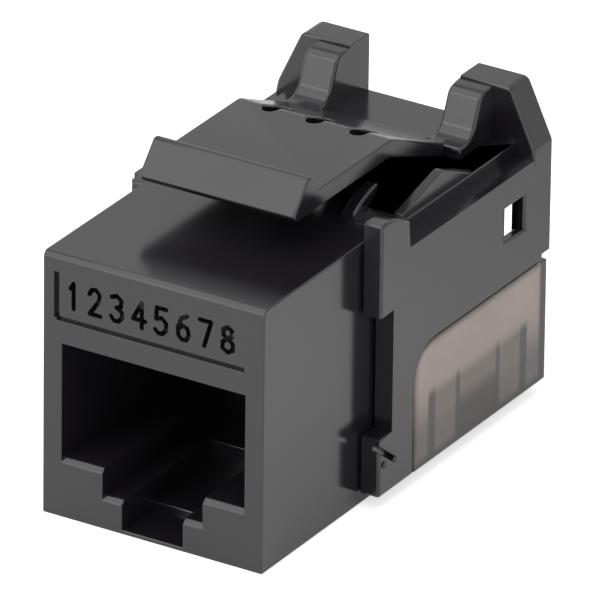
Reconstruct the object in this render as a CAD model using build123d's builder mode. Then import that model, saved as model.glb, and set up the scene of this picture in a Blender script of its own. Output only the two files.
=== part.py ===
from build123d import *
import os
from math import atan2, cos, degrees, radians, sin

os.makedirs("parts", exist_ok=True)

# Keystone jack for an eight-wire plug, in millimetres
# X runs across the nose, Y runs from the front face to the cable end, Z runs up
# The origin is on the nose's bottom edge at the front face, in the middle

# Nose that passes through the panel window
nose_width = 14.5
nose_height = 16.3
nose_edge = 0.25
housing_length = 14.6
shoulder_setback = 4.3
shoulder_y = housing_length - shoulder_setback

# Plug port in the front face
port_wall = 1.22
port_width = nose_width - 2 * port_wall
port_floor = 3.7
port_cover = 5.5
port_roof = nose_height - port_cover
port_back = 1.4
port_depth = housing_length - port_back
ledge_width = 2.73
ledge_gap = port_width - 2 * ledge_width
ledge_floor = 2.05
key_width = 4.0
key_back = 0.9
key_depth = shoulder_y - key_back
key_floor = 0.25
key_step_y = 3.5
key_step_top = 0.6
ledge_lead_in = 0.3

# Sunk frame line of the label field above the port
label_left_margin = 0.9
label_right_margin = 1.3
label_top_margin = 1.1
label_height = 2.85
label_left = label_left_margin - nose_width / 2
label_right = nose_width / 2 - label_right_margin
label_top = nose_height - label_top_margin
label_low = label_top - label_height
label_line = 0.36
label_under_line = 0.28
label_depth = 0.3

# Rear shell
shell_step = 1.35
shell_width = nose_width + 2 * shell_step
shell_bottom = 0.75
shoulder_depth = 1.35
panel_front = shoulder_y + shoulder_depth
panel_drop = 1.1
panel_top = nose_height - panel_drop
panel_chamfer = 1.7
shell_length = 13.4
shell_end = housing_length + shell_length
fit_gap = 0.05
roof_drop = 0.3
roof_top = nose_height - roof_drop
roof_thickness = 1.2
roof_reach = 0.65
roof_end = shell_end + roof_reach
block_step = 0.08
block_half = shell_width / 2 - block_step
block_rise = 1.4
block_top = nose_height + block_rise
left_block_inset = 0.35
left_block_setback = 0.4
left_block_drop = 0.2
left_block_top = nose_height - left_block_drop
block_slope = 0.8
block_rear_top = block_top - block_slope
upper_block_height = 5.8
upper_block_low = block_top - upper_block_height
lower_block_top = 4.4
slit_setback = 0.85
slit_y = shoulder_y + slit_setback
slit_z = 3.2
slit_length = 2.3
slit_width = 0.28
slit_slope = 37.4
slit_depth = 0.45
pin_mark_setback = 0.5
pin_mark_y = shoulder_y + pin_mark_setback
pin_mark_z = 2.7
pin_mark_width = 0.32

# Ears and wing plates at the cable end
wing_lap = 0.1
wing_front = shell_end - wing_lap
wing_thickness = 1.1
wing_end = wing_front + wing_thickness
wing_step = 0.08
wing_width = shell_width + 2 * wing_step
wing_height = 7.1
wing_low = roof_top - wing_height
ear_rise = 3.35
ear_top = roof_top + ear_rise
ear_inset = 1.73
ear_outer = wing_width / 2 - ear_inset
ear_breadth = 3.3
ear_inner = ear_outer - ear_breadth
ear_slant_drop = 0.3
ear_slant_low = roof_top - ear_slant_drop
ear_depth = 1.0
ear_front = wing_front - ear_depth
ear_rim = 0.75
ear_corner = 0.55
gusset_width = 2.2
gusset_foot = 0.7
gusset_foot_top = roof_top + gusset_foot
gusset_length = 3.2
gusset_toe = ear_front - gusset_length
gusset_clearance = 0.3
gusset_radius = 1.3
gusset_steepness = 68
gusset_ramp = 1.28
gusset_brow_radius = 0.8
rail_width = 0.6
rail_gap = 0.1
rail_front = housing_length + rail_gap
rail_climb = 4.35
rail_peak_y = rail_front + rail_climb
rail_fall = 3.35
rail_rear = rail_peak_y + rail_fall
rail_rise = 1.4
rail_top = roof_top + rail_rise

# Side windows of the shell
window_setback = 4.3
window_y = shell_end - window_setback
window_length = 2.3
window_height = 2.1
window_drop = 1.85
window_z = panel_top - window_drop - window_height
window_wall = 0.65
pocket_margin = 0.6

# Sprung latch: a long arm that rises from the roof and runs forward to the catch
latch_inset = 2.15
latch_width = nose_width - 2 * latch_inset
latch_rise = 3.25
latch_top = nose_height + latch_rise
latch_thickness = 1.1
latch_root_gap = 0.8
latch_root_y = gusset_toe - latch_root_gap
latch_root_rise = 0.98
latch_root_z = roof_top + latch_root_rise
latch_ramp = 5.8
latch_bend_y = latch_root_y - latch_ramp
latch_foot = 1.7
latch_foot_y = latch_root_y + latch_foot
spring_thickness = 0.8
panel_grip = 1.9
catch_y = shoulder_y - panel_grip
catch_rise = 1.1
catch_top = latch_top + catch_rise
catch_length = 1.9
catch_toe_y = catch_y - catch_length
catch_toe_drop = 0.7
catch_toe_z = latch_top - catch_toe_drop
catch_lip = 0.35
catch_step = 0.75
slot_count = 3
slot_pitch = 2.9
slot_shift = 0.45
slot_width = 1.0
slot_length = 2.2
stop_setback = 1.7
stop_foot_y = housing_length - stop_setback
stop_length = 2.6
stop_tip_y = stop_foot_y + stop_length
stop_rise = 1.2
stop_tip_z = nose_height + stop_rise
stop_thickness = 0.75
stop_width = 0.8
stop_face = 0.45

# Smoke wire cap under the shell
cap_drop = 0.5
cap_top = wing_low - cap_drop
cap_lap = 0.5
cap_front = housing_length - cap_lap
cap_end = roof_end
cap_wall = 0.9
cap_floor = 0.9
cap_corner = 2.3
cap_seam = 0.06
cap_rib_height = 4.4
cap_rib_depth = 0.7
cap_rib_width = 0.6

# Circuit board over the port and the wire block
board_cover = 4.1
board_low = nose_height - board_cover
board_thickness = 1.0
board_inset = 1.35
board_width = nose_width - 2 * board_inset
board_front = 2.4
board_end_gap = 0.25
board_end = roof_end - board_end_gap

# Contact springs and their carrier
contact_count = 8
contact_pitch = 1.02
wire_diameter = 0.42
contact_front_y = 3.3
contact_root_y = 4.6
contact_hang = 0.95
contact_root_z = board_low - contact_hang
contact_bend = 0.4
contact_slope = 14.0
carrier_edge = 1.33
carrier_width = (contact_count - 1) * contact_pitch + 2 * carrier_edge
carrier_front = 2.6
carrier_setback = 1.7
carrier_end = housing_length - carrier_setback
carrier_plate = 0.6
carrier_boss = 0.8
comb_depth = 2.2
comb_front = carrier_end - comb_depth
comb_height = 3.9
comb_low = board_low - comb_height
comb_slot = 0.66
contact_reach = 0.6
contact_tip_y = comb_front + contact_reach
running_gap = 0.1

# Wire block and its terminals
block_base_inset = 0.1
block_base_width = board_width - 2 * block_base_inset
block_base_height = 5.0
block_base_low = board_low - block_base_height
block_base_gap = 0.15
block_base_end = roof_end - block_base_gap
rail_lift = 1.0
rail_low = cap_top + rail_lift
rail_end_gap = 0.9
rail_end = window_y - rail_end_gap
tower_lift = 1.55
tower_low = shell_bottom + tower_lift
tower_width = 3.0
tower_length = 2.3
wire_slot = 0.55
wire_slot_depth = 2.6
tower_setback = 2.3
first_slot_y = housing_length + tower_setback
pair_pitch = 2.95
tower_rear_setback = 1.9
last_slot_y = roof_end - tower_rear_setback
pair_step = last_slot_y - pair_pitch - first_slot_y
tower_inset = 1.4
terminal_x = block_base_width / 2 - tower_inset
terminal_thickness = 0.4
terminal_width = 1.5
terminal_lift = 0.7
terminal_low = tower_low + terminal_lift
fork_width = 0.3
fork_depth = 2.2
pocket_gap = 0.05

slot_ys = [first_slot_y + pair * pair_step + wire * pair_pitch for pair in range(2) for wire in range(2)]
contact_xs = [(index - (contact_count - 1) / 2) * contact_pitch for index in range(contact_count)]
front_plane = Plane.XZ


def save(piece, name):
    """Label a finished piece and write it under its name."""
    piece.label = name
    export_step(piece, f"parts/{name}.step")


# Front housing: the nose with its stepped port, moulded in one
with BuildPart() as front_housing:
    with BuildSketch(front_plane):
        with Locations((0, nose_height / 2)):
            Rectangle(nose_width, nose_height)
    extrude(amount=-housing_length)
    front_edges = front_housing.edges().group_by(Axis.Y)[0]
    chamfer(front_edges.sort_by(Axis.Z)[-1], nose_edge)
    with BuildSketch(front_plane):
        with Locations((0, (port_floor + port_roof) / 2)):
            Rectangle(port_width, port_roof - port_floor)
        with Locations((0, (ledge_floor + port_floor) / 2)):
            Rectangle(ledge_gap, port_floor - ledge_floor)
    extrude(amount=-port_depth, mode=Mode.SUBTRACT)
    with BuildSketch(front_plane):
        with Locations((0, (key_floor + ledge_floor) / 2)):
            Rectangle(key_width, ledge_floor - key_floor)
    extrude(amount=-key_step_y, mode=Mode.SUBTRACT)
    with BuildSketch(front_plane):
        with Locations((0, (key_step_top + ledge_floor) / 2)):
            Rectangle(key_width, ledge_floor - key_step_top)
    extrude(amount=-key_depth, mode=Mode.SUBTRACT)
    mouth_edges = front_housing.edges().group_by(Axis.Y)[0].filter_by(Axis.X)
    ledge_edges = mouth_edges.filter_by_position(Axis.Z, (key_floor + ledge_floor) / 2, (port_floor + port_roof) / 2)
    chamfer(ledge_edges, ledge_lead_in)
    chamber_width = carrier_width + 2 * fit_gap
    with BuildSketch(front_plane.offset(-(carrier_front - fit_gap))):
        with Locations((0, (port_roof + board_low) / 2)):
            Rectangle(chamber_width, board_low - port_roof)
    extrude(amount=-housing_length, mode=Mode.SUBTRACT)
    with BuildSketch(front_plane.offset(-(board_front - fit_gap))):
        with Locations((0, board_low + board_thickness / 2)):
            Rectangle(board_width + 2 * fit_gap, board_thickness + 2 * fit_gap)
    extrude(amount=-housing_length, mode=Mode.SUBTRACT)
    with BuildSketch(front_plane):
        with Locations(((label_left + label_right) / 2, label_low)):
            Rectangle(label_right - label_left, label_under_line)
        with Locations((label_left, (label_low + label_top) / 2)):
            Rectangle(label_line, label_top - label_low)
    extrude(amount=-label_depth, mode=Mode.SUBTRACT)
    for side in (-1, 1):
        with BuildSketch(Plane.YZ.offset(side * (latch_width - stop_width) / 2)):
            with BuildLine():
                foot = Line((stop_foot_y, nose_height), (stop_foot_y + stop_thickness, nose_height))
                under_tip = (stop_tip_y, stop_tip_z - stop_face)
                Bezier(foot @ 1, (stop_tip_y - stop_thickness, nose_height), under_tip)
                Line(under_tip, (stop_tip_y, stop_tip_z))
                Bezier((stop_tip_y, stop_tip_z), (stop_foot_y + stop_thickness, stop_tip_z - stop_face), foot @ 0)
            make_face()
        extrude(amount=stop_width / 2, both=True)
save(front_housing.part, "front_housing")

# Rear shell: side panels, shoulder blocks, roof, window, wing plates and ears, moulded in one
shell_half = shell_width / 2
inner_width = nose_width + 2 * fit_gap
cap_opening = cap_top + cap_seam
with BuildPart() as rear_shell:
    with BuildSketch(front_plane.offset(-panel_front)):
        with Locations((0, (shell_bottom + panel_top) / 2)):
            Rectangle(shell_width, panel_top - shell_bottom)
    extrude(amount=-(shell_end - panel_front))
    corner_edges = rear_shell.edges().filter_by(Axis.X).group_by(Axis.Y)[0]
    chamfer(corner_edges.sort_by(Axis.Z)[-1], panel_chamfer)
    block_end = panel_front + panel_chamfer
    with BuildSketch(Plane.YZ):
        with BuildLine():
            Polyline(
                (shoulder_y, upper_block_low),
                (shoulder_y, block_top),
                (panel_front, block_top),
                (block_end, block_rear_top),
                (block_end, upper_block_low),
                close=True,
            )
        make_face()
    extrude(amount=block_half, both=True)
    with BuildSketch(Plane.YZ):
        with Locations(((shoulder_y + block_end) / 2, (shell_bottom + lower_block_top) / 2)):
            Rectangle(block_end - shoulder_y, lower_block_top - shell_bottom)
    extrude(amount=shell_half, both=True)
    with BuildSketch(front_plane.offset(-shoulder_y)):
        with Locations((-shell_half, left_block_top + block_rise)):
            Rectangle(2 * shell_step, 2 * block_rise)
    extrude(amount=-(block_end - shoulder_y), mode=Mode.SUBTRACT)
    with BuildSketch(front_plane.offset(-shoulder_y)):
        with Locations((-shell_half, (upper_block_low + block_top) / 2)):
            Rectangle(2 * left_block_inset, block_top - upper_block_low)
    extrude(amount=-shoulder_depth, mode=Mode.SUBTRACT)
    with BuildSketch(front_plane.offset(-shoulder_y)):
        with Locations((-shell_half, (upper_block_low + block_top) / 2)):
            Rectangle(2 * shell_step, block_top - upper_block_low)
    extrude(amount=-left_block_setback, mode=Mode.SUBTRACT)
    with BuildSketch(Plane.YZ):
        with BuildLine():
            Polyline(
                (cap_front - cap_seam, shell_bottom - 1),
                (cap_front - cap_seam, cap_opening),
                (wing_end + 1, cap_opening),
                (wing_end + 1, shell_bottom - 1),
                close=True,
            )
        make_face()
        round_corner = vertices().group_by(Axis.X)[0].sort_by(Axis.Y)[-1]
        fillet(round_corner, cap_corner)
    extrude(amount=shell_half + 1, both=True, mode=Mode.SUBTRACT)
    with BuildSketch(front_plane.offset(-(shoulder_y - 1))):
        with Locations((0, nose_height / 2 + 1)):
            Rectangle(inner_width, nose_height + 3)
    extrude(amount=-(housing_length + fit_gap - shoulder_y + 1), mode=Mode.SUBTRACT)
    with BuildSketch(front_plane.offset(-housing_length)):
        with Locations((0, (roof_top - roof_thickness) / 2)):
            Rectangle(inner_width, roof_top - roof_thickness)
    extrude(amount=-(wing_end - housing_length), mode=Mode.SUBTRACT)
    with BuildSketch(front_plane.offset(-(housing_length + fit_gap))):
        with Locations((0, roof_top - roof_thickness / 2)):
            Rectangle(inner_width, roof_thickness)
    extrude(amount=-(roof_end - housing_length - fit_gap))
    with BuildSketch(front_plane.offset(-wing_front)):
        with Locations((0, (wing_low + panel_top) / 2)):
            Rectangle(wing_width, panel_top - wing_low)
        with Locations((0, wing_low + (roof_top - roof_thickness - wing_low) / 2)):
            Rectangle(inner_width, roof_top - roof_thickness - wing_low, mode=Mode.SUBTRACT)
        with Locations((0, roof_top)):
            Rectangle(2 * ear_inner, 2 * roof_thickness, mode=Mode.SUBTRACT)
    extrude(amount=-(wing_end - wing_front))
    with BuildSketch(front_plane.offset(-ear_front)):
        with BuildLine():
            Polyline(
                (ear_inner, roof_top - roof_thickness),
                (ear_inner, ear_top),
                (ear_outer, ear_top),
                (wing_width / 2, ear_slant_low),
                (wing_width / 2, panel_top),
                (inner_width / 2, roof_top - roof_thickness),
                close=True,
            )
        make_face()
        top_corner = vertices().group_by(Axis.Y)[-1].sort_by(Axis.X)[-1]
        slant_corner = vertices().group_by(Axis.X)[-1].sort_by(Axis.Y)[-1]
        fillet([top_corner, slant_corner], ear_corner)
        mirror(about=Plane.YZ)
    extrude(amount=-(wing_end - ear_front))
    with BuildSketch(front_plane.offset(-ear_front)):
        with BuildLine():
            Polyline(
                (ear_inner + gusset_width, roof_top),
                (ear_inner + gusset_width, ear_top - ear_rim),
                (ear_outer - ear_rim / 2, ear_top - ear_rim),
                (wing_width / 2 - ear_rim, ear_slant_low),
                (wing_width / 2 - ear_rim, roof_top),
                close=True,
            )
        make_face()
        mirror(about=Plane.YZ)
    extrude(amount=-(wing_front - ear_front), mode=Mode.SUBTRACT)
    gusset_front = latch_root_y + gusset_clearance
    for side in (-1, 1):
        with BuildSketch(Plane.YZ.offset(side * (ear_inner + gusset_width / 2))):
            with BuildLine():
                base = Line((gusset_front, roof_top), (gusset_front, gusset_foot_top))
                step = Line(base @ 1, (gusset_toe, gusset_foot_top))
                curve = JernArc(step @ 1, tangent=(1, 0), radius=gusset_radius, arc_size=gusset_steepness)
                ramp = Line(curve @ 1, curve @ 1 + gusset_ramp * (curve % 1))
                brow = JernArc(ramp @ 1, tangent=ramp % 1, radius=gusset_brow_radius, arc_size=-gusset_steepness)
                Polyline(brow @ 1, (wing_front, (brow @ 1).Y), (wing_front, roof_top), base @ 0)
            make_face()
        extrude(amount=gusset_width / 2, both=True)
        with BuildSketch(Plane.YZ.offset(side * (nose_width - rail_width) / 2)):
            with BuildLine():
                Polyline(
                    (rail_front, roof_top - roof_thickness),
                    (rail_front, nose_height),
                    (rail_peak_y, rail_top),
                    (rail_rear, roof_top),
                    (rail_rear, roof_top - roof_thickness),
                    close=True,
                )
            make_face()
        extrude(amount=rail_width / 2, both=True)
    with BuildSketch(Plane.YZ):
        with Locations((window_y + window_length / 2, window_z + window_height / 2)):
            Rectangle(window_length, window_height)
    extrude(amount=shell_half + 1, both=True, mode=Mode.SUBTRACT)
    # The wall is thinner around the window, so that light shows through from the cable end
    with BuildSketch(Plane.YZ):
        with Locations((window_y + window_length / 2, window_z + window_height / 2)):
            Rectangle(window_length + 2 * pocket_margin, window_height + 2 * pocket_margin)
    extrude(amount=shell_half - window_wall, both=True, mode=Mode.SUBTRACT)
    for side in (-1, 1):
        with BuildSketch(Plane.YZ.offset(side * shell_half)):
            with Locations((slit_y, slit_z)):
                SlotOverall(slit_length, slit_width, rotation=-slit_slope)
            with Locations((pin_mark_y, pin_mark_z)):
                Circle(pin_mark_width / 2)
        extrude(amount=slit_depth, both=True, mode=Mode.SUBTRACT)
save(rear_shell.part, "rear_shell")

# Latch lever: the free arm with its catch
latch_low = latch_top - latch_thickness
arm_slope = degrees(atan2(latch_top - latch_root_z, latch_root_y - latch_bend_y))
arm_drop = latch_thickness / cos(radians(arm_slope))
root_normal_y = spring_thickness * sin(radians(arm_slope))
root_normal_z = spring_thickness * cos(radians(arm_slope))
with BuildPart() as latch_lever:
    with BuildSketch(Plane.YZ):
        with BuildLine():
            Polyline(
                (latch_root_y, latch_root_z),
                (latch_bend_y, latch_top),
                (catch_y + catch_step, latch_top),
                (catch_y, catch_top),
                (catch_y - catch_lip, catch_top),
                (catch_toe_y, catch_toe_z),
                (catch_toe_y + catch_lip, latch_low),
                (latch_bend_y - arm_drop / 4, latch_low),
                (latch_root_y - root_normal_y, latch_root_z - root_normal_z),
                close=True,
            )
        make_face()
        bend_corner = vertices().sort_by_distance((latch_bend_y, latch_top))[0]
        fillet(bend_corner, latch_thickness)
    extrude(amount=latch_width / 2, both=True)
    with BuildSketch(Plane.XY.offset(latch_top)):
        with Locations((0, latch_bend_y + slot_shift)):
            with GridLocations(slot_pitch, 1, slot_count, 1):
                SlotOverall(slot_length, slot_width, rotation=90)
    extrude(amount=2 * latch_thickness, both=True, mode=Mode.SUBTRACT)
save(latch_lever.part, "latch_lever")

# Latch spring: the thin root that joins the arm to the roof and bends when the catch is pressed
with BuildPart() as latch_spring:
    with BuildSketch(Plane.YZ):
        with BuildLine():
            joint = Line(
                (latch_root_y - root_normal_y, latch_root_z - root_normal_z),
                (latch_root_y, latch_root_z),
            )
            top = Line(joint @ 1, (latch_foot_y, roof_top + spring_thickness / 4))
            Polyline(top @ 1, (latch_foot_y, roof_top), (latch_root_y - root_normal_y, roof_top), joint @ 0)
        make_face()
    extrude(amount=ear_inner - fit_gap, both=True)
save(latch_spring.part, "latch_spring")

# Wire cap: smoke tray that closes the wire block from below
cap_half = shell_width / 2
with BuildPart() as wire_cap:
    with BuildSketch(Plane.YZ):
        with BuildLine():
            Polyline(
                (cap_front, shell_bottom),
                (cap_front, cap_top),
                (cap_end, cap_top),
                (cap_end, shell_bottom),
                close=True,
            )
        make_face()
        round_corner = vertices().group_by(Axis.X)[0].sort_by(Axis.Y)[-1]
        fillet(round_corner, cap_corner - cap_seam)
    extrude(amount=cap_half, both=True)
    with BuildSketch(front_plane.offset(-(housing_length + 2 * fit_gap))):
        with Locations((0, shell_bottom + cap_floor + cap_top / 2)):
            Rectangle(shell_width - 2 * cap_wall, cap_top)
    extrude(amount=-(cap_end - housing_length), mode=Mode.SUBTRACT)
    with BuildSketch(front_plane.offset(-(cap_front - 1))):
        with Locations((0, nose_height / 2)):
            Rectangle(inner_width, nose_height + 2)
    extrude(amount=-(housing_length + 2 * fit_gap - cap_front + 1), mode=Mode.SUBTRACT)
    for side in (-1, 1):
        with BuildSketch(Plane.XY.offset(shell_bottom + cap_floor)):
            for slot_y in slot_ys:
                with Locations((side * (cap_half - cap_wall - cap_rib_depth / 2), slot_y)):
                    Rectangle(cap_rib_depth, cap_rib_width)
        extrude(amount=cap_rib_height - cap_floor)
save(wire_cap.part, "wire_cap")

# Circuit board
with BuildPart() as circuit_board:
    with BuildSketch(Plane.XY.offset(board_low)):
        with Locations((0, (board_front + board_end) / 2)):
            Rectangle(board_width, board_end - board_front)
    extrude(amount=board_thickness)
save(circuit_board.part, "circuit_board")

# Contact carrier: plate under the board, root boss and rear comb
with BuildPart() as contact_carrier:
    with BuildSketch(Plane.XY.offset(board_low - carrier_plate)):
        with Locations((0, (carrier_front + carrier_end) / 2)):
            Rectangle(carrier_width, carrier_end - carrier_front)
    extrude(amount=carrier_plate)
    boss_low = contact_root_z - wire_diameter
    with BuildSketch(Plane.YZ):
        with Locations((contact_root_y + running_gap + carrier_boss / 2, (boss_low + board_low) / 2)):
            Rectangle(carrier_boss, board_low - boss_low)
        with Locations(((comb_front + carrier_end) / 2, (comb_low + board_low) / 2)):
            Rectangle(carrier_end - comb_front, board_low - comb_low)
    extrude(amount=carrier_width / 2, both=True)
    with BuildSketch(Plane.XY.offset(comb_low)):
        for x in contact_xs:
            with Locations((x, (comb_front + contact_tip_y + 1) / 2)):
                Rectangle(comb_slot, contact_tip_y + 1 - comb_front)
    extrude(amount=board_low - carrier_plate - comb_low, mode=Mode.SUBTRACT)
save(contact_carrier.part, "contact_carrier")

# Contact springs: eight bent wires that a plug lifts
for index, x in enumerate(contact_xs):
    with BuildPart() as contact_spring:
        with BuildLine(Plane.YZ.offset(x)):
            root = Line((contact_root_y, contact_root_z), (contact_front_y + contact_bend, contact_root_z))
            bend = JernArc(root @ 1, tangent=(-1, 0), radius=contact_bend, arc_size=180 - contact_slope)
            bend_end_y = contact_front_y + contact_bend + contact_bend * sin(radians(contact_slope))
            arm_length = (contact_tip_y - bend_end_y) / cos(radians(contact_slope))
            PolarLine(bend @ 1, length=arm_length, angle=-contact_slope)
        with BuildSketch(Plane(origin=(x, contact_root_y, contact_root_z), z_dir=(0, -1, 0))):
            Circle(wire_diameter / 2)
        sweep()
    save(contact_spring.part, f"contact_spring_{index + 1}")

# Wire block: base under the board with two rows of slotted towers that point down
block_front = housing_length + fit_gap
with BuildPart() as wire_block:
    with BuildSketch(Plane.XY.offset(block_base_low)):
        with Locations((0, (block_front + block_base_end) / 2)):
            Rectangle(block_base_width, block_base_end - block_front)
    extrude(amount=board_low - block_base_low)
    with BuildSketch(Plane.XY.offset(rail_low)):
        with Locations((0, (block_front + rail_end) / 2)):
            Rectangle(inner_width - 2 * fit_gap, rail_end - block_front)
    extrude(amount=board_low - rail_low)
    with BuildSketch(Plane.XY.offset(tower_low)):
        for side in (-1, 1):
            for slot_y in slot_ys:
                with Locations((side * terminal_x, slot_y)):
                    Rectangle(tower_width, tower_length)
    extrude(amount=block_base_low - tower_low)
    tower_ends = wire_block.faces().sort_by(Axis.Z)[: 2 * len(slot_ys)]
    chamfer(tower_ends.edges().filter_by(Axis.X), tower_length / 4)
    with BuildSketch(Plane.XY.offset(tower_low)):
        for side in (-1, 1):
            for slot_y in slot_ys:
                with Locations((side * terminal_x, slot_y)):
                    Rectangle(tower_width, wire_slot)
    extrude(amount=wire_slot_depth, mode=Mode.SUBTRACT)
    with BuildSketch(Plane.XY.offset(tower_low)):
        for side in (-1, 1):
            for slot_y in slot_ys:
                with Locations((side * terminal_x, slot_y)):
                    Rectangle(terminal_thickness + 2 * pocket_gap, terminal_width + 2 * pocket_gap)
    extrude(amount=board_low - tower_low, mode=Mode.SUBTRACT)
save(wire_block.part, "wire_block")

# Terminals: eight forked blades that cut through a wire's jacket
for side, side_name in ((-1, "left"), (1, "right")):
    for index, slot_y in enumerate(slot_ys):
        with BuildPart() as terminal:
            with BuildSketch(Plane.YZ.offset(side * terminal_x)):
                with Locations((slot_y, (terminal_low + board_low) / 2)):
                    Rectangle(terminal_width, board_low - terminal_low)
                with Locations((slot_y, terminal_low + fork_depth / 2)):
                    SlotOverall(fork_depth + fork_width, fork_width, rotation=90, mode=Mode.SUBTRACT)
                with Locations((slot_y, terminal_low)):
                    Rectangle(2 * fork_width, fork_width, rotation=45, mode=Mode.SUBTRACT)
            extrude(amount=terminal_thickness / 2, both=True)
        save(terminal.part, f"terminal_{side_name}_{index + 1}")
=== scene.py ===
import math

import bmesh
import bpy
from bpy.props import FloatProperty, FloatVectorProperty, PointerProperty
from mathutils import Matrix, Vector


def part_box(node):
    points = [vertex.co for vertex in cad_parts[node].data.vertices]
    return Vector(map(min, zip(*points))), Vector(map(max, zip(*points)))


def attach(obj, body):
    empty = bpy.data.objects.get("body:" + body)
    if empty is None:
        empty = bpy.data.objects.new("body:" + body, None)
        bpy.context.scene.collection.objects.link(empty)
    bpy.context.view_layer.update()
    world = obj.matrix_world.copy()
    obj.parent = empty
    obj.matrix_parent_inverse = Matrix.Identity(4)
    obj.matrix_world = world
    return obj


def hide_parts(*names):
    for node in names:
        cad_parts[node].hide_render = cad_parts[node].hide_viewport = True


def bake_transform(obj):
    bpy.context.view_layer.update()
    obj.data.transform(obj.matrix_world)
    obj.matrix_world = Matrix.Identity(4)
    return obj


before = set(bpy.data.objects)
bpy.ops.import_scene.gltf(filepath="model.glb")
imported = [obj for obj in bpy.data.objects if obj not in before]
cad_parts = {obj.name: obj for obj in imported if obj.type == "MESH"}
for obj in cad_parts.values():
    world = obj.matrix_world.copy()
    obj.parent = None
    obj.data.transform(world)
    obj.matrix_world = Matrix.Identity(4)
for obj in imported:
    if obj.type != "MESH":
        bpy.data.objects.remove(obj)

bl_info = {
    "name": "Keystone Jack",
    "version": (1, 0, 0),
    "blender": (4, 5, 0),
    "location": "View3D > Sidebar > Keystone Jack",
    "description": "Dresses the solids of a keystone jack with moulded edges, numbers, finishes, floor and light",
    "category": "Object",
}

MM = 0.001

# places in the frame that the solids share
PART_MIDDLE = Vector((0, 15 * MM, 10 * MM))
WIRE_BLOCK_MIDDLE_Y = 21.05 * MM
LABEL_MIDDLE_X = -0.2 * MM
LABEL_MIDDLE_Z = 13.95 * MM
# only the curved stop ribs stand above the nose's top, which is at 16.3 mm
ABOVE_NOSE_TOP = 16.35 * MM
# a small notch at each ear's foot is closed by moving its rear corners forward
NOTCH_X = (7.7 * MM, 8 * MM)
NOTCH_Y = 27.9 * MM
NOTCH_Z = (15.6 * MM, 16.01 * MM)
NOTCH_LENGTH = 1 * MM

# facets of the solids' arcs meet at these angles, and smaller ones need no rounding
FACET_ANGLES = (math.radians(14), math.radians(32))
# edges of a moulding that are sharper than this are rounded
SHARP_ANGLE = math.radians(35)
# faces that meet at more than this are shaded apart
SHADING_ANGLE = math.radians(38)

LAMP_DISTANCE = 0.4
# the camera that was fitted to the photo
CAMERA_AZIMUTH = math.radians(31.296)
CAMERA_ELEVATION = math.radians(25.847)
CAMERA_ROLL = math.radians(0.70)
CAMERA_DISTANCE = 742.26 * MM
CAMERA_LENS = 787.9
CAMERA_AIM_RIGHT = 0.337 * MM
CAMERA_AIM_UP = -0.886 * MM


def linear(hex_colour):
    """An sRGB hex value as the linear colour that a shader takes."""
    parts = [int(hex_colour[at:at + 2], 16) / 255 for at in (0, 2, 4)]
    return tuple(c / 12.92 if c <= 0.04045 else ((c + 0.055) / 1.055) ** 2.4 for c in parts) + (1.0,)


class KeystoneSizes(bpy.types.PropertyGroup):
    """Sizes that a user would change."""

    nose_edge: FloatProperty(name="Nose edge", description="Rounding of the nose's moulded edges",
                             default=0.14 * MM, min=0, unit="LENGTH", precision=5)
    shell_edge: FloatProperty(name="Shell edge", description="Rounding of the rear shell's moulded edges",
                              default=0.16 * MM, min=0, unit="LENGTH", precision=5)
    latch_edge: FloatProperty(name="Latch edge", description="Rounding of the latch arm's edges",
                              default=0.12 * MM, min=0, unit="LENGTH", precision=5)
    cap_edge: FloatProperty(name="Cap edge", description="Rounding of the smoke cap's edges",
                            default=0.14 * MM, min=0, unit="LENGTH", precision=5)
    digit_height: FloatProperty(name="Digit height", description="Height of the wire numbers in the label field",
                                default=1.55 * MM, min=0, unit="LENGTH", precision=5)
    digit_width: FloatProperty(name="Digit width", description="Width of each wire number",
                               default=0.82 * MM, min=0, unit="LENGTH", precision=5)
    digit_stroke: FloatProperty(name="Digit stroke", description="Width of the wire numbers' strokes",
                                default=0.28 * MM, min=0, unit="LENGTH", precision=5)
    digit_depth: FloatProperty(name="Digit depth", description="Depth of the sunk wire numbers",
                               default=0.65 * MM, min=0, unit="LENGTH", precision=5)
    digit_pitch: FloatProperty(name="Digit pitch", description="Step from one wire number to the next",
                               default=1.45 * MM, min=0, unit="LENGTH", precision=5)


class KeystoneColours(bpy.types.PropertyGroup):
    """Colours that a user would change."""

    black: FloatVectorProperty(name="Black plastic", description="Colour of the moulded housings",
                               subtype="COLOR", size=4, min=0, max=1, default=linear("1C1A1E"))
    smoke: FloatVectorProperty(name="Smoke plastic", description="Colour of the wire cap",
                               subtype="COLOR", size=4, min=0, max=1, default=linear("A8978E"))
    mask: FloatVectorProperty(name="Solder mask", description="Colour of the circuit board",
                              subtype="COLOR", size=4, min=0, max=1, default=linear("1F4A33"))
    nylon: FloatVectorProperty(name="Dark nylon", description="Colour of the contact carrier and the wire block",
                               subtype="COLOR", size=4, min=0, max=1, default=linear("2B2A2B"))
    gold: FloatVectorProperty(name="Gold plate", description="Colour of the contact springs",
                              subtype="COLOR", size=4, min=0, max=1, default=linear("E2B45C"))
    tin: FloatVectorProperty(name="Tin plate", description="Colour of the terminals",
                             subtype="COLOR", size=4, min=0, max=1, default=linear("C9C6BF"))
    floor: FloatVectorProperty(name="Floor", description="Colour of the plain floor",
                               subtype="COLOR", size=4, min=0, max=1, default=linear("F2F2F2"))


def add_node(tree, kind, inputs=None, **options):
    """Adds one shader node with its options, its values and its links."""
    made = tree.nodes.new(kind)
    for key, value in options.items():
        setattr(made, key, value)
    for key, value in (inputs or {}).items():
        if isinstance(value, bpy.types.NodeSocket):
            tree.links.new(value, made.inputs[key])
        else:
            made.inputs[key].default_value = value
    return made


def start_material(name):
    """An empty node material and its tree."""
    material = bpy.data.materials.new(name)
    material.use_nodes = True
    material.node_tree.nodes.clear()
    return material, material.node_tree


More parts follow.
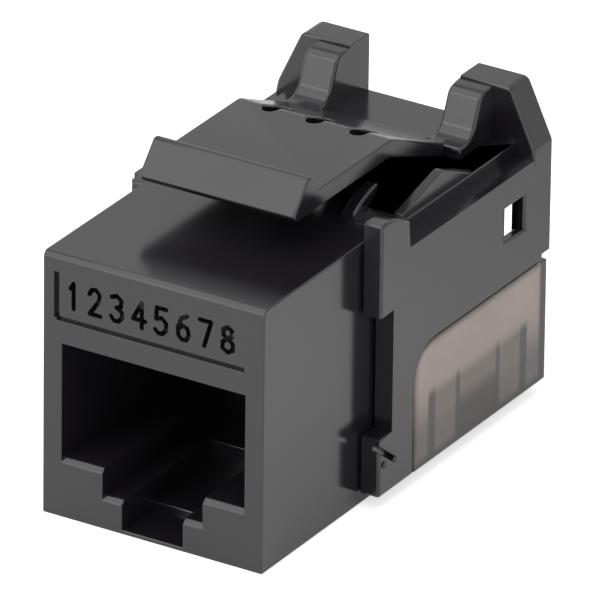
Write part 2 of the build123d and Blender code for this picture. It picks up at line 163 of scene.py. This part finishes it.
def end_material(tree, shader):
    """Joins the shader to the material's output."""
    add_node(tree, "ShaderNodeOutputMaterial", {"Surface": shader.outputs[0]})


def tinted(colour, factor):
    """The same colour, lighter or darker."""
    return tuple(min(1.0, part * factor) for part in colour[:3]) + (1.0,)


def black_abs(colours):
    """Glossy moulded ABS: a polished mould gives a clear reflection, a little soft at the edge."""
    material, tree = start_material("abs_black_moulded")
    place = add_node(tree, "ShaderNodeTexCoord").outputs["Object"]
    # melt flow shows as a faint change of tone and gloss over about 5 mm
    flow = add_node(tree, "ShaderNodeTexNoise", {"Vector": place, "Scale": 200.0, "Detail": 2.0})
    tone = add_node(tree, "ShaderNodeMix", {"Factor": flow.outputs["Fac"], "A": tinted(colours.black, 0.88),
                                            "B": tinted(colours.black, 1.12)}, data_type="RGBA")
    gloss = add_node(tree, "ShaderNodeMapRange", {"Value": flow.outputs["Fac"], "To Min": 0.13, "To Max": 0.19})
    # the spark-eroded grain of a mould is about 0.03 mm, drawn at 0.09 mm so that it shows
    grain = add_node(tree, "ShaderNodeTexNoise", {"Vector": place, "Scale": 11000.0, "Detail": 3.0})
    relief = add_node(tree, "ShaderNodeBump", {"Height": grain.outputs["Fac"], "Strength": 0.12,
                                               "Distance": 0.006 * MM})
    end_material(tree, add_node(tree, "ShaderNodeBsdfPrincipled", {
        "Base Color": tone.outputs["Result"], "Roughness": gloss.outputs["Result"],
        "Normal": relief.outputs["Normal"], "IOR": 1.6}))
    return material


def smoke_polycarbonate(colours):
    """Smoke tinted polycarbonate: light goes some way in; its darker bands, lower zone and corners are painted
    shade, where less light goes through.
    """
    material, tree = start_material("polycarbonate_smoke_moulded")
    place = add_node(tree, "ShaderNodeTexCoord").outputs["Object"]
    along = add_node(tree, "ShaderNodeSeparateXYZ", {"Vector": place})
    # distance from the middle of the wire block, so that both towers are drawn by one set of nodes
    middle = add_node(tree, "ShaderNodeMath", {0: along.outputs["Y"], 1: WIRE_BLOCK_MIDDLE_Y},
                      operation="SUBTRACT")
    middle = add_node(tree, "ShaderNodeMath", {0: middle.outputs[0]}, operation="ABSOLUTE")
    # the towers' outer walls are 0.9 mm thick and their inner walls are thinner; painted shade draws each as an
    # upright band where it stands behind the wall
    bars = []
    for centre, half, soft in ((5.05, 0.28, 0.5), (2.2, 0.1, 0.32)):
        off = add_node(tree, "ShaderNodeMath", {0: middle.outputs[0], 1: centre * MM}, operation="SUBTRACT")
        off = add_node(tree, "ShaderNodeMath", {0: off.outputs[0]}, operation="ABSOLUTE")
        bars.append(add_node(tree, "ShaderNodeMapRange", {"Value": off.outputs[0], "From Min": half * MM,
                                                          "From Max": soft * MM, "To Min": 1.0, "To Max": 0.0}))
    painted_bar_shade = add_node(tree, "ShaderNodeMath", {0: bars[0].outputs["Result"], 1: bars[1].outputs["Result"]},
                   operation="MAXIMUM")
    below = add_node(tree, "ShaderNodeMapRange", {"Value": along.outputs["Z"], "From Min": 4.8 * MM,
                                                  "From Max": 5.5 * MM, "To Min": 0.85, "To Max": 0.0})
    painted_bar_shade = add_node(tree, "ShaderNodeMath", {0: painted_bar_shade.outputs[0], 1: below.outputs["Result"]}, operation="MULTIPLY")
    # painted shade where the block stands close behind the wall: it fades out from 2.6 to 6 mm up and ends 5.5 mm
    # from its middle
    depth = add_node(tree, "ShaderNodeMapRange", {"Value": along.outputs["Z"], "From Min": 2.6 * MM,
                                                  "From Max": 6.0 * MM, "To Min": 1.0, "To Max": 0.0},
                     interpolation_type="SMOOTHSTEP")
    between = add_node(tree, "ShaderNodeMapRange", {"Value": middle.outputs[0], "From Min": 2.0 * MM,
                                                    "From Max": 2.6 * MM, "To Min": 1.0, "To Max": 0.75})
    depth = add_node(tree, "ShaderNodeMath", {0: depth.outputs["Result"], 1: between.outputs["Result"]},
                     operation="MULTIPLY")
    painted_tower_shade = add_node(tree, "ShaderNodeMapRange", {"Value": middle.outputs[0], "From Min": 5.3 * MM,
                                                  "From Max": 5.6 * MM, "To Min": 0.78, "To Max": 0.0})
    painted_tower_shade = add_node(tree, "ShaderNodeMath", {0: painted_tower_shade.outputs["Result"], 1: below.outputs["Result"]},
                     operation="MULTIPLY")
    depth = add_node(tree, "ShaderNodeMath", {0: depth.outputs[0], 1: painted_tower_shade.outputs[0]}, operation="MAXIMUM")
    # painted shade in the thick corners along the floor and the cable end, and where the shell laps the wall
    corner = add_node(tree, "ShaderNodeMapRange", {"Value": along.outputs["Z"], "From Min": 1.0 * MM,
                                                   "From Max": 1.5 * MM, "To Min": 0.95, "To Max": 0.0})
    for axis, start, end, reach in (("Y", 27.7, 28.0, 0.95), ("Z", 7.95, 8.3, 0.6), ("Y", 14.7, 14.2, 0.5)):
        edge = add_node(tree, "ShaderNodeMapRange", {"Value": along.outputs[axis], "From Min": start * MM,
                                                     "From Max": end * MM, "To Min": 0.0, "To Max": reach})
        corner = add_node(tree, "ShaderNodeMath", {0: corner.outputs[0], 1: edge.outputs["Result"]},
                          operation="MAXIMUM")
    # melt flow shows as a faint change of tone and gloss over about 3 mm
    flow = add_node(tree, "ShaderNodeTexNoise", {"Vector": place, "Scale": 350.0, "Detail": 2.0})
    tone = add_node(tree, "ShaderNodeMix", {"Factor": flow.outputs["Fac"], "A": tinted(colours.smoke, 0.9),
                                            "B": tinted(colours.smoke, 1.1)}, data_type="RGBA")
    # the painted shades darken the smoke colour, each to its own level
    for factor, dark in ((depth, 0.06), (painted_bar_shade, 0.04), (corner, 0.03)):
        tone = add_node(tree, "ShaderNodeMix", {"Factor": factor.outputs[0], "A": tone.outputs["Result"],
                                                "B": tinted(colours.smoke, dark)}, data_type="RGBA")
    gloss = add_node(tree, "ShaderNodeMapRange", {"Value": flow.outputs["Fac"], "To Min": 0.14, "To Max": 0.24})
    # less light goes through where shade is painted
    dark = add_node(tree, "ShaderNodeMath", {0: depth.outputs[0], 1: painted_bar_shade.outputs[0]}, operation="MAXIMUM")
    dark = add_node(tree, "ShaderNodeMath", {0: dark.outputs[0], 1: corner.outputs[0]}, operation="MAXIMUM")
    clear = add_node(tree, "ShaderNodeMapRange", {"Value": dark.outputs[0], "To Min": 0.25, "To Max": 0.0})
    end_material(tree, add_node(tree, "ShaderNodeBsdfPrincipled", {
        "Base Color": tone.outputs["Result"], "Roughness": gloss.outputs["Result"], "IOR": 1.58,
        "Transmission Weight": clear.outputs["Result"]}))
    return material


def board_laminate(colours):
    """Glass-epoxy laminate under solder mask: satin green with the tracks as low ridges under the mask."""
    material, tree = start_material("laminate_solder_mask")
    place = add_node(tree, "ShaderNodeTexCoord").outputs["Object"]
    # tracks run along the board about 2 mm apart
    tracks = add_node(tree, "ShaderNodeTexWave", {"Vector": place, "Scale": 160.0, "Distortion": 1.2,
                                                  "Detail": 1.0, "Detail Scale": 0.6},
                      bands_direction="X", wave_profile="SIN")
    ridge = add_node(tree, "ShaderNodeMapRange", {"Value": tracks.outputs["Fac"], "From Min": 0.55,
                                                  "From Max": 0.65})
    tone = add_node(tree, "ShaderNodeMix", {"Factor": ridge.outputs["Result"], "A": tuple(colours.mask),
                                            "B": tinted(colours.mask, 1.7)}, data_type="RGBA")
    relief = add_node(tree, "ShaderNodeBump", {"Height": ridge.outputs["Result"], "Strength": 0.5,
                                               "Distance": 0.03 * MM})
    end_material(tree, add_node(tree, "ShaderNodeBsdfPrincipled", {
        "Base Color": tone.outputs["Result"], "Roughness": 0.38,
        "Normal": relief.outputs["Normal"], "IOR": 1.52}))
    return material


def filled_nylon(colours):
    """Glass-filled nylon: the short fibres near the surface make it satin with a fine pale fleck."""
    material, tree = start_material("nylon_glass_filled")
    place = add_node(tree, "ShaderNodeTexCoord").outputs["Object"]
    stretched = add_node(tree, "ShaderNodeMapping", {"Vector": place, "Scale": (1.0, 0.25, 1.0)})
    # fibres are 0.01 mm thick and up to 0.4 mm long, drawn 0.1 mm wide so that they show
    fibre = add_node(tree, "ShaderNodeTexNoise", {"Vector": stretched.outputs["Vector"], "Scale": 9000.0,
                                                  "Detail": 3.0, "Roughness": 0.6})
    fleck = add_node(tree, "ShaderNodeMapRange", {"Value": fibre.outputs["Fac"], "From Min": 0.45,
                                                  "From Max": 0.75})
    tone = add_node(tree, "ShaderNodeMix", {"Factor": fleck.outputs["Result"], "A": tuple(colours.nylon),
                                            "B": tinted(colours.nylon, 1.6)}, data_type="RGBA")
    relief = add_node(tree, "ShaderNodeBump", {"Height": fibre.outputs["Fac"], "Strength": 0.2,
                                               "Distance": 0.01 * MM})
    end_material(tree, add_node(tree, "ShaderNodeBsdfPrincipled", {
        "Base Color": tone.outputs["Result"], "Roughness": 0.5, "Normal": relief.outputs["Normal"], "IOR": 1.53}))
    return material


def gold_plate(colours):
    """Gold plated spring wire: bright, with fine lines along the wire from the drawing die."""
    material, tree = start_material("gold_plated_spring_wire")
    place = add_node(tree, "ShaderNodeTexCoord").outputs["Object"]
    along = add_node(tree, "ShaderNodeMapping", {"Vector": place, "Scale": (1.0, 0.05, 1.0)})
    # die lines are a few hundredths of a millimetre apart
    lines = add_node(tree, "ShaderNodeTexNoise", {"Vector": along.outputs["Vector"], "Scale": 20000.0,
                                                  "Detail": 2.0})
    gloss = add_node(tree, "ShaderNodeMapRange", {"Value": lines.outputs["Fac"], "To Min": 0.12, "To Max": 0.32})
    tone = add_node(tree, "ShaderNodeMix", {"Factor": lines.outputs["Fac"], "A": tinted(colours.gold, 0.92),
                                            "B": tuple(colours.gold)}, data_type="RGBA")
    end_material(tree, add_node(tree, "ShaderNodeBsdfPrincipled", {
        "Base Color": tone.outputs["Result"], "Metallic": 1.0, "Roughness": gloss.outputs["Result"]}))
    return material


def tin_plate(colours):
    """Matt tin over phosphor bronze: pale grey, a little cloudy from the plating bath."""
    material, tree = start_material("tin_plated_bronze")
    place = add_node(tree, "ShaderNodeTexCoord").outputs["Object"]
    # the cloudiness of matt tin is about half a millimetre wide
    cloud = add_node(tree, "ShaderNodeTexNoise", {"Vector": place, "Scale": 2000.0, "Detail": 4.0})
    gloss = add_node(tree, "ShaderNodeMapRange", {"Value": cloud.outputs["Fac"], "To Min": 0.28, "To Max": 0.46})
    tone = add_node(tree, "ShaderNodeMix", {"Factor": cloud.outputs["Fac"], "A": tinted(colours.tin, 0.85),
                                            "B": tuple(colours.tin)}, data_type="RGBA")
    end_material(tree, add_node(tree, "ShaderNodeBsdfPrincipled", {
        "Base Color": tone.outputs["Result"], "Metallic": 1.0, "Roughness": gloss.outputs["Result"]}))
    return material


FINISHES = {
    "black_plastic": black_abs,
    "smoke_plastic": smoke_polycarbonate,
    "board": board_laminate,
    "dark_moulding": filled_nylon,
    "gold_plate": gold_plate,
    "tin_plate": tin_plate,
}
made_finishes = {}


def finish_of(slot):
    """The material of one slot, made once."""
    if slot not in made_finishes:
        made_finishes[slot] = FINISHES[slot](bpy.context.scene.keystone_colours)
    return made_finishes[slot]


def smooth_arcs(bm):
    """Rounds the facet borders of the solids' arcs, one size of facet after another."""
    smallest, widest = FACET_ANGLES
    # each turn takes the smallest facets that are left, and no moulding has 20 sizes of them
    for _ in range(20):
        reach = {
            edge: min(side.calc_length() for vert in edge.verts for side in vert.link_edges if side != edge)
            for edge in bm.edges
            if edge.is_manifold and smallest < edge.calc_face_angle() < widest
            and all(len(vert.link_edges) == 3 for vert in edge.verts)
        }
        if not reach:
            break
        least = min(reach.values())
        borders = [edge for edge, size in reach.items() if size < 1.1 * least]
        bmesh.ops.bevel(bm, geom=borders, offset=0.48 * least, offset_type="OFFSET", segments=4, profile=0.5,
                        affect="EDGES", material=-1)


def merged(node, adjust=None):
    """A bmesh of a CAD node with its triangles joined, its flat faces made whole and its arcs made finer."""
    bm = bmesh.new()
    bm.from_mesh(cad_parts[node].data)
    if adjust:
        for vert in bm.verts:
            adjust(vert.co)
    bmesh.ops.remove_doubles(bm, verts=bm.verts, dist=0.0005 * MM)
    bmesh.ops.dissolve_limit(bm, angle_limit=math.radians(0.5), verts=bm.verts, edges=bm.edges)
    smooth_arcs(bm)
    return bm


def level_shell(place):
    """Moulds the shell's 0.08 mm side steps level with the cap and fills the notch at each ear's foot."""
    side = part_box("wire_cap")[1].x
    if abs(abs(place.x) - side) < 0.1 * MM:
        place.x = math.copysign(side, place.x)
    in_notch = NOTCH_X[0] < abs(place.x) < NOTCH_X[1] and NOTCH_Z[0] < place.z < NOTCH_Z[1]
    if in_notch and abs(place.y - NOTCH_Y) < 0.01 * MM:
        place.y -= NOTCH_LENGTH


def has_room(vert, sharp, reach, curves):
    """Whether a corner's edges are long enough for a rounding; on a curve, the next edge of it may be short."""
    chain = [edge for edge in vert.link_edges if curves and edge in sharp]
    on_curve = False
    if len(chain) == 2:
        ways = [edge.other_vert(vert).co - vert.co for edge in chain]
        on_curve = ways[0].angle(-ways[1]) <= FACET_ANGLES[1]
    others = [edge for edge in vert.link_edges if not (on_curve and edge in chain)]
    return all(edge.calc_length() > 2.2 * reach for edge in others)


def round_edges(bm, width, curves_above=-1.0):
    """Rounds the outer edges, less where a neighbour is too short; edges of curves only above a height."""
    rounded = bm.faces.layers.int.new("rounded")
    for reach in (width, 0.3 * width):
        for curves in (True, False):
            outer = [
                edge for edge in bm.edges
                if edge.is_manifold and edge.is_convex and edge.calc_face_angle() > SHARP_ANGLE
            ]
            sharp = set(outer)
            roomy = [
                edge for edge in outer
                if any(vert.co.z > curves_above for vert in edge.verts) == curves
                and all(has_room(vert, sharp, reach, curves) for vert in edge.verts)
            ]
            if not roomy:
                continue
            made = bmesh.ops.bevel(bm, geom=roomy, offset=reach, offset_type="OFFSET", segments=3, profile=0.5,
                                   affect="EDGES", material=-1, clamp_overlap=not curves)
            for face in made["faces"]:
                face[rounded] = 1


def shade(bm):
    """Smooth curves and roundings, and flat faces that keep their own normals."""
    rounded = bm.faces.layers.int.get("rounded")
    for face in bm.faces:
        face.smooth = True
    for edge in bm.edges:
        edge.smooth = (
            edge.is_manifold and edge.calc_face_angle() < SHADING_ANGLE
            and (not rounded or edge.link_faces[0][rounded] == edge.link_faces[1][rounded])
        )


def piece_from(bm, name, slot, body, *nodes):
    """Makes the finished object from a bmesh and lets it stand for its CAD nodes."""
    # the roundings and the cut numbers leave faces without any area
    bmesh.ops.dissolve_degenerate(bm, dist=0.001 * MM, edges=bm.edges)
    shade(bm)
    mesh = bpy.data.meshes.new(name)
    bm.to_mesh(mesh)
    bm.free()
    mesh.materials.append(finish_of(slot))
    piece = bpy.data.objects.new(name, mesh)
    bpy.context.scene.collection.objects.link(piece)
    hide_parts(*nodes)
    if body:
        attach(piece, body)
    return piece


# the turning points of each number's stroke, as parts of its width and height
DIGITS = (
    ((0.3, 0.78), (0.55, 1.0), (0.55, 0.0)),
    ((0.05, 0.78), (0.25, 0.97), (0.6, 1.0), (0.88, 0.82), (0.82, 0.58), (0.08, 0.0), (0.95, 0.0)),
    ((0.08, 0.92), (0.5, 1.0), (0.86, 0.85), (0.8, 0.6), (0.45, 0.53), (0.86, 0.42), (0.93, 0.2),
     (0.6, 0.0), (0.25, 0.0), (0.03, 0.15)),
    ((0.72, 0.0), (0.72, 1.0), (0.02, 0.3), (1.0, 0.3)),
    ((0.9, 1.0), (0.15, 1.0), (0.1, 0.55), (0.55, 0.62), (0.9, 0.45), (0.9, 0.18), (0.6, 0.0),
     (0.25, 0.0), (0.03, 0.12)),
    ((0.8, 0.98), (0.35, 0.85), (0.08, 0.45), (0.1, 0.15), (0.4, 0.0), (0.75, 0.02), (0.95, 0.25),
     (0.8, 0.5), (0.45, 0.57), (0.16, 0.42)),
    ((0.03, 1.0), (0.95, 1.0), (0.4, 0.0)),
    ((0.5, 0.54), (0.17, 0.65), (0.14, 0.87), (0.5, 1.0), (0.86, 0.87), (0.83, 0.65), (0.5, 0.54),
     (0.1, 0.38), (0.08, 0.13), (0.5, 0.0), (0.92, 0.13), (0.9, 0.38), (0.5, 0.54)),
)


def add_stroke(bm, start, end, half, depth):
    """Adds one straight stroke with round ends, as a closed prism that stands through the front face."""
    along = (end - start).normalized()
    turn = math.atan2(along.y, along.x)
    outline = []
    for middle, first in ((end, -90), (start, 90)):
        for step in range(7):
            angle = turn + math.radians(first + 30 * step)
            outline.append(middle + half * Vector((math.cos(angle), math.sin(angle))))
    rings = [[bm.verts.new((point.x, y, point.y)) for point in outline] for y in (-depth, depth)]
    count = len(outline)
    for at in range(count):
        after = (at + 1) % count
        bm.faces.new((rings[0][at], rings[0][after], rings[1][after], rings[1][at]))
    bm.faces.new(rings[0][::-1])
    bm.faces.new(rings[1])


def sunk_numbers(bm, sizes):
    """Cuts the wire numbers 1 to 8 into the label field of the nose."""
    cutter = bmesh.new()
    for index, digit in enumerate(DIGITS):
        corner = Vector(((index - 3.5) * sizes.digit_pitch + LABEL_MIDDLE_X, LABEL_MIDDLE_Z))
        corner -= Vector((sizes.digit_width, sizes.digit_height)) / 2
        points = [corner + Vector((x * sizes.digit_width, z * sizes.digit_height)) for x, z in digit]
        for start, end in zip(points, points[1:]):
            add_stroke(cutter, start, end, sizes.digit_stroke / 2, sizes.digit_depth)
    bmesh.ops.recalc_face_normals(cutter, faces=cutter.faces)
    helpers = []
    for source, name in ((bm, "nose_blank"), (cutter, "number_cutter")):
        mesh = bpy.data.meshes.new(name)
        source.to_mesh(mesh)
        helpers.append(bpy.data.objects.new(name, mesh))
        bpy.context.scene.collection.objects.link(helpers[-1])
    cutter.free()
    blank, numbers = helpers
    cut = blank.modifiers.new("cut", "BOOLEAN")
    cut.operation = "DIFFERENCE"
    cut.solver = "EXACT"
    cut.object = numbers
    cut.use_self = True
    bpy.context.view_layer.update()
    result = bpy.data.meshes.new_from_object(blank.evaluated_get(bpy.context.evaluated_depsgraph_get()))
    bm.clear()
    bm.from_mesh(result)
    bpy.data.meshes.remove(result)
    for helper in helpers:
        bpy.data.objects.remove(helper)


class KEYSTONE_OT_front_housing(bpy.types.Operator):
    """Rounds the nose's edges and sinks the wire numbers into its label field"""

    bl_idname = "keystone.front_housing"
    bl_label = "Front housing"

    def execute(self, context):
        sizes = context.scene.keystone_sizes
        bm = merged("front_housing")
        round_edges(bm, sizes.nose_edge, curves_above=ABOVE_NOSE_TOP)
        sunk_numbers(bm, sizes)
        piece_from(bm, "nose_moulding", "black_plastic", "housing", "front_housing")
        return {"FINISHED"}


class KEYSTONE_OT_rear_shell(bpy.types.Operator):
    """Rounds the edges of the rear shell"""

    bl_idname = "keystone.rear_shell"
    bl_label = "Rear shell"

    def execute(self, context):
        bm = merged("rear_shell", level_shell)
        round_edges(bm, context.scene.keystone_sizes.shell_edge)
        piece_from(bm, "shell_moulding", "black_plastic", "housing", "rear_shell")
        return {"FINISHED"}


class KEYSTONE_OT_latch(bpy.types.Operator):
    """Rounds the latch arm and makes its root bend between the shell and the arm"""

    bl_idname = "keystone.latch"
    bl_label = "Latch"

    def execute(self, context):
        bm = merged("latch_lever")
        round_edges(bm, context.scene.keystone_sizes.latch_edge)
        piece_from(bm, "latch_arm", "black_plastic", "latch", "latch_lever")
        low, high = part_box("latch_spring")
        bm = merged("latch_spring")
        # cross cuts let the root bend smoothly
        for step in range(1, 8):
            cut_y = low.y + (high.y - low.y) * step / 8
            bmesh.ops.bisect_plane(bm, geom=bm.verts[:] + bm.edges[:] + bm.faces[:],
                                   plane_co=(0, cut_y, 0), plane_no=(0, 1, 0))
        root = piece_from(bm, "latch_root", "black_plastic", None, "latch_spring")
        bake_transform(root)
        return {"FINISHED"}


class KEYSTONE_OT_wire_cap(bpy.types.Operator):
    """Rounds the edges of the smoke cap"""

    bl_idname = "keystone.wire_cap"
    bl_label = "Wire cap"

    def execute(self, context):
        bm = merged("wire_cap")
        round_edges(bm, context.scene.keystone_sizes.cap_edge)
        piece_from(bm, "smoke_cap", "smoke_plastic", "cap", "wire_cap")
        return {"FINISHED"}


class KEYSTONE_OT_inner_parts(bpy.types.Operator):
    """Gives the board, the carrier, the wire block, the contacts and the terminals their finish"""

    bl_idname = "keystone.inner_parts"
    bl_label = "Inner parts"

    def execute(self, context):
        slots = {"circuit_board": "board", "contact_carrier": "dark_moulding", "wire_block": "dark_moulding"}
        for name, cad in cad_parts.items():
            if cad.hide_render:
                continue
            slot = slots.get(name, "gold_plate" if name.startswith("contact_spring") else "tin_plate")
            cad.data.materials.clear()
            cad.data.materials.append(finish_of(slot))
        return {"FINISHED"}


def make_floor(scene):
    """A plain pale floor that the camera and the mirror images see as white, with a painted glow for the mirror
    images that fades toward the back, and with the part's shadow on it.
    """
    material, tree = start_material("studio_floor")
    path = add_node(tree, "ShaderNodeLightPath")
    # a painted glow, seen only in mirror images, fades toward the back of the table, so that what the side of the
    # part mirrors gets dimmer there
    place = add_node(tree, "ShaderNodeTexCoord").outputs["Object"]
    along = add_node(tree, "ShaderNodeSeparateXYZ", {"Vector": place})
    painted_glow_fade = add_node(tree, "ShaderNodeMapRange", {"Value": along.outputs["Y"], "From Min": 20 * MM,
                                                   "From Max": 50 * MM, "To Min": 0.3, "To Max": 0.0})
    mirrored = add_node(tree, "ShaderNodeMath", {0: path.outputs["Is Glossy Ray"],
                                                 1: painted_glow_fade.outputs["Result"]}, operation="MULTIPLY")
    glow = add_node(tree, "ShaderNodeMath", {0: path.outputs["Is Camera Ray"], 1: 0.6,
                                             2: mirrored.outputs[0]}, operation="MULTIPLY_ADD")
    end_material(tree, add_node(tree, "ShaderNodeBsdfPrincipled", {
        "Base Color": tuple(scene.keystone_colours.floor), "Roughness": 0.7, "Emission Color": (1, 1, 1, 1),
        "Emission Strength": glow.outputs[0]}))
    bm = bmesh.new()
    bmesh.ops.create_grid(bm, x_segments=1, y_segments=1, size=1.5)
    mesh = bpy.data.meshes.new("floor")
    bm.to_mesh(mesh)
    bm.free()
    mesh.materials.append(material)
    floor = bpy.data.objects.new("floor", mesh)
    floor.location.z = -0.01 * MM
    scene.collection.objects.link(floor)


def make_surround(scene):
    """A white world: full for the camera, less in the mirror images and least as light."""
    world = bpy.data.worlds.new("studio_surround")
    world.use_nodes = True
    tree = world.node_tree
    tree.nodes.clear()
    path = add_node(tree, "ShaderNodeLightPath")
    mirrored = add_node(tree, "ShaderNodeMath", {0: path.outputs["Is Glossy Ray"], 1: 0.27, 2: 0.55},
                        operation="MULTIPLY_ADD")
    level = add_node(tree, "ShaderNodeMath", {0: path.outputs["Is Camera Ray"], 1: 0.5,
                                              2: mirrored.outputs[0]}, operation="MULTIPLY_ADD")
    surround = add_node(tree, "ShaderNodeBackground", {"Color": (1, 1, 1, 1), "Strength": level.outputs[0]})
    add_node(tree, "ShaderNodeOutputWorld", {"Surface": surround.outputs[0]})
    scene.world = world


def make_lamps(scene):
    """One large soft box overhead, a weaker one at the front right and a low one at the front left."""
    for name, direction, size, power in (
        ("top_light", Vector((-0.15, -0.35, 1.0)), 0.55, 1.0),
        ("fill_light", Vector((0.85, -0.45, 0.3)), 0.3, 0.25),
        ("low_light", Vector((-0.47, -0.85, 0.24)), 0.45, 0.8),
    ):
        lamp = bpy.data.lights.new(name, "AREA")
        lamp.shape = "DISK"
        lamp.size = size
        lamp.energy = power
        holder = bpy.data.objects.new(name, lamp)
        holder.location = PART_MIDDLE + direction.normalized() * LAMP_DISTANCE
        holder.rotation_euler = direction.to_track_quat("Z", "Y").to_euler()
        scene.collection.objects.link(holder)


def make_camera(scene):
    """A camera at the photo's angle and distance."""
    right = Vector((math.cos(CAMERA_AZIMUTH), math.sin(CAMERA_AZIMUTH), 0))
    ahead = Vector((-math.sin(CAMERA_AZIMUTH) * math.cos(CAMERA_ELEVATION),
                    math.cos(CAMERA_AZIMUTH) * math.cos(CAMERA_ELEVATION), -math.sin(CAMERA_ELEVATION)))
    up = right.cross(ahead)
    right, up = (right * math.cos(CAMERA_ROLL) + up * math.sin(CAMERA_ROLL),
                 up * math.cos(CAMERA_ROLL) - right * math.sin(CAMERA_ROLL))
    camera = bpy.data.objects.new("camera", bpy.data.cameras.new("camera"))
    camera.data.sensor_width = 36
    camera.data.lens = CAMERA_LENS
    camera.data.clip_start = 0.05
    camera.data.clip_end = 20
    target = PART_MIDDLE + right * CAMERA_AIM_RIGHT + up * CAMERA_AIM_UP
    camera.matrix_world = (Matrix.Translation(target - ahead * CAMERA_DISTANCE)
                           @ Matrix((right, up, -ahead)).transposed().to_4x4())
    scene.collection.objects.link(camera)
    scene.camera = camera


class KEYSTONE_OT_stage(bpy.types.Operator):
    """Makes the pale floor, the soft light and the camera"""

    bl_idname = "keystone.stage"
    bl_label = "Stage"

    def execute(self, context):
        scene = context.scene
        make_floor(scene)
        make_surround(scene)
        make_lamps(scene)
        make_camera(scene)
        scene.view_settings.view_transform = "Standard"
        return {"FINISHED"}


OPERATORS = (
    KEYSTONE_OT_front_housing,
    KEYSTONE_OT_rear_shell,
    KEYSTONE_OT_latch,
    KEYSTONE_OT_wire_cap,
    KEYSTONE_OT_inner_parts,
    KEYSTONE_OT_stage,
)


class KEYSTONE_PT_panel(bpy.types.Panel):
    """Lists the sizes, the colours and the steps"""

    bl_idname = "KEYSTONE_PT_panel"
    bl_label = "Keystone Jack"
    bl_space_type = "VIEW_3D"
    bl_region_type = "UI"
    bl_category = "Keystone Jack"

    def draw(self, context):
        for group in (context.scene.keystone_sizes, context.scene.keystone_colours):
            column = self.layout.column()
            for name in group.__annotations__:
                column.prop(group, name)
        for operator in OPERATORS:
            self.layout.operator(operator.bl_idname)


CLASSES = (KeystoneSizes, KeystoneColours, *OPERATORS, KEYSTONE_PT_panel)


def register():
    """Adds the steps, the panel and their settings."""
    for cls in CLASSES:
        bpy.utils.register_class(cls)
    bpy.types.Scene.keystone_sizes = PointerProperty(type=KeystoneSizes)
    bpy.types.Scene.keystone_colours = PointerProperty(type=KeystoneColours)


def unregister():
    """Takes away all that register adds."""
    del bpy.types.Scene.keystone_colours
    del bpy.types.Scene.keystone_sizes
    for cls in reversed(CLASSES):
        bpy.utils.unregister_class(cls)


def main():
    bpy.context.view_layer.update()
    register()
    bpy.ops.keystone.front_housing()
    bpy.ops.keystone.rear_shell()
    bpy.ops.keystone.latch()
    bpy.ops.keystone.wire_cap()
    bpy.ops.keystone.inner_parts()
    bpy.ops.keystone.stage()
    bpy.context.view_layer.update()


if __name__ == "__main__":
    main()
